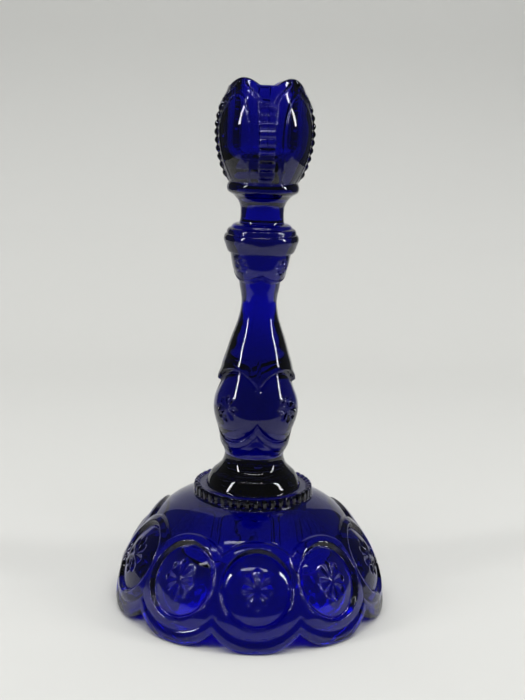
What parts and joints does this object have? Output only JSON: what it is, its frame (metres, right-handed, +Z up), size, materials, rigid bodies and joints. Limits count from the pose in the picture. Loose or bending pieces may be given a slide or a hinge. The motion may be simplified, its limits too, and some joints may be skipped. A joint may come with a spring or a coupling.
{
  "type": "glass candlestick",
  "caption": "Tall pressed cobalt glass candlestick with a scalloped domed foot of starred medallions, a knopped stem and a petalled socket for a taper candle.",
  "frame": {"origin": "centre of the base, on the plane of the table that the lobes of the foot rest on", "axes": "+Z up along the axis of the stem; -Y towards the front, where one medallion of the foot, one rib of the socket and the gap between two medallions of each knop face"},
  "size_m": [0.1216, 0.1226, 0.235],
  "materials": {
    "cobalt_glass": "polished pressed glass, deep cobalt blue all through"
  },
  "bodies": {
    "root": {"foot": "cobalt_glass", "toothed_ring": "cobalt_glass", "stem": "cobalt_glass", "stepped_disc": "cobalt_glass", "socket": "cobalt_glass"}
  },
  "joints": []
}
